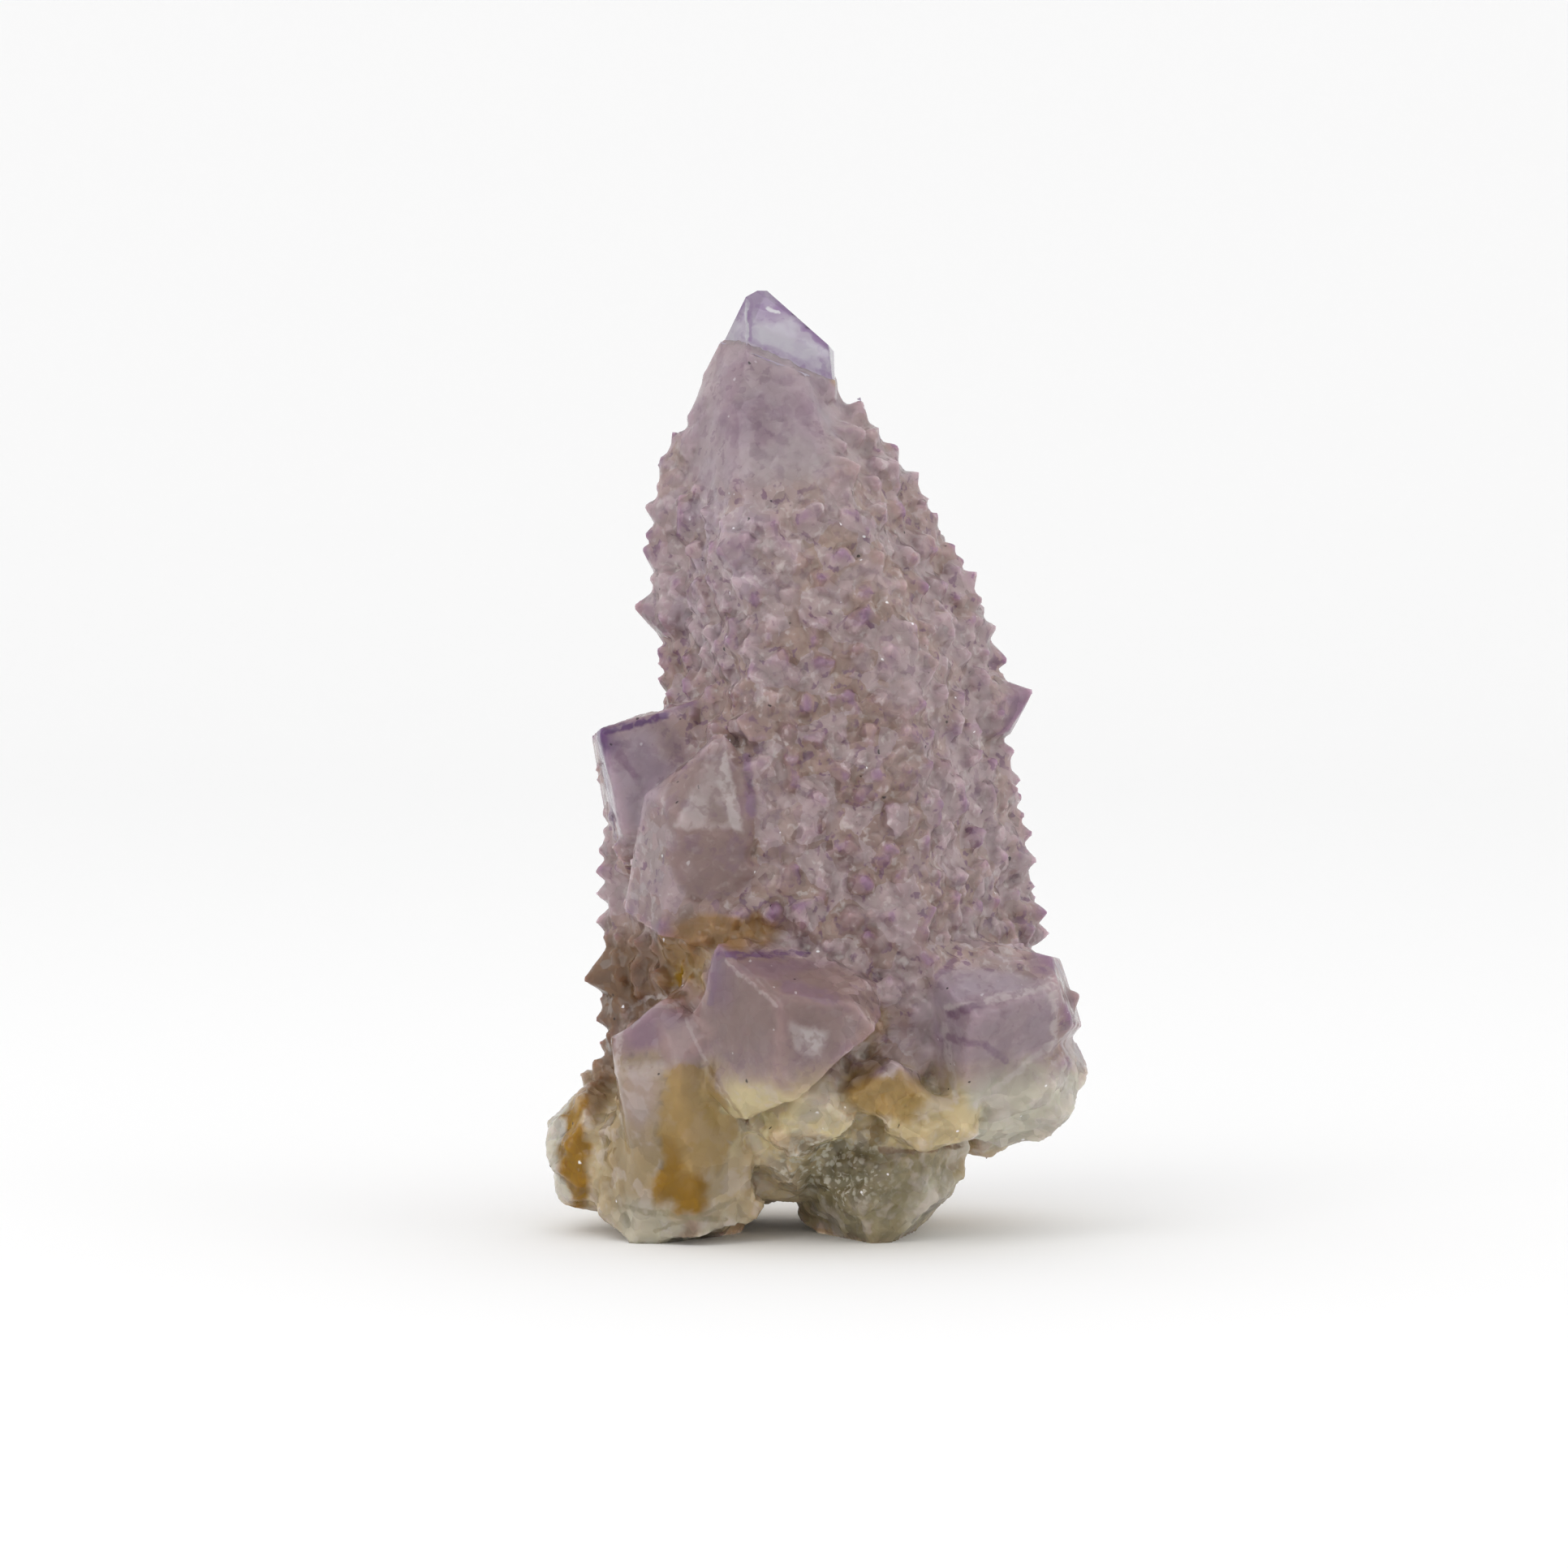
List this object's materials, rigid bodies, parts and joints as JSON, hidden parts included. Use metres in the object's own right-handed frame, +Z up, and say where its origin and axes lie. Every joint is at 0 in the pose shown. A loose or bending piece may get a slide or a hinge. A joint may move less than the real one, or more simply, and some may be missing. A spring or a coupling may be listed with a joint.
{
  "type": "spirit quartz specimen",
  "caption": "Natural amethyst point whose sides are covered in a druse of small crystals, with larger crystals at its shoulder and foot; stands on its flat-cut base.",
  "frame": {"origin": "below the middle of the specimen, at the flat cut that it stands on", "axes": "+Z up along the main point, +X to the right of the best side, +Y away from that side"},
  "size_m": [0.0546, 0.05, 0.0949],
  "materials": {
    "amethyst": "translucent milky lavender crystal, glassy faces"
  },
  "bodies": {
    "root": {"spirit_quartz": "amethyst"}
  },
  "joints": []
}
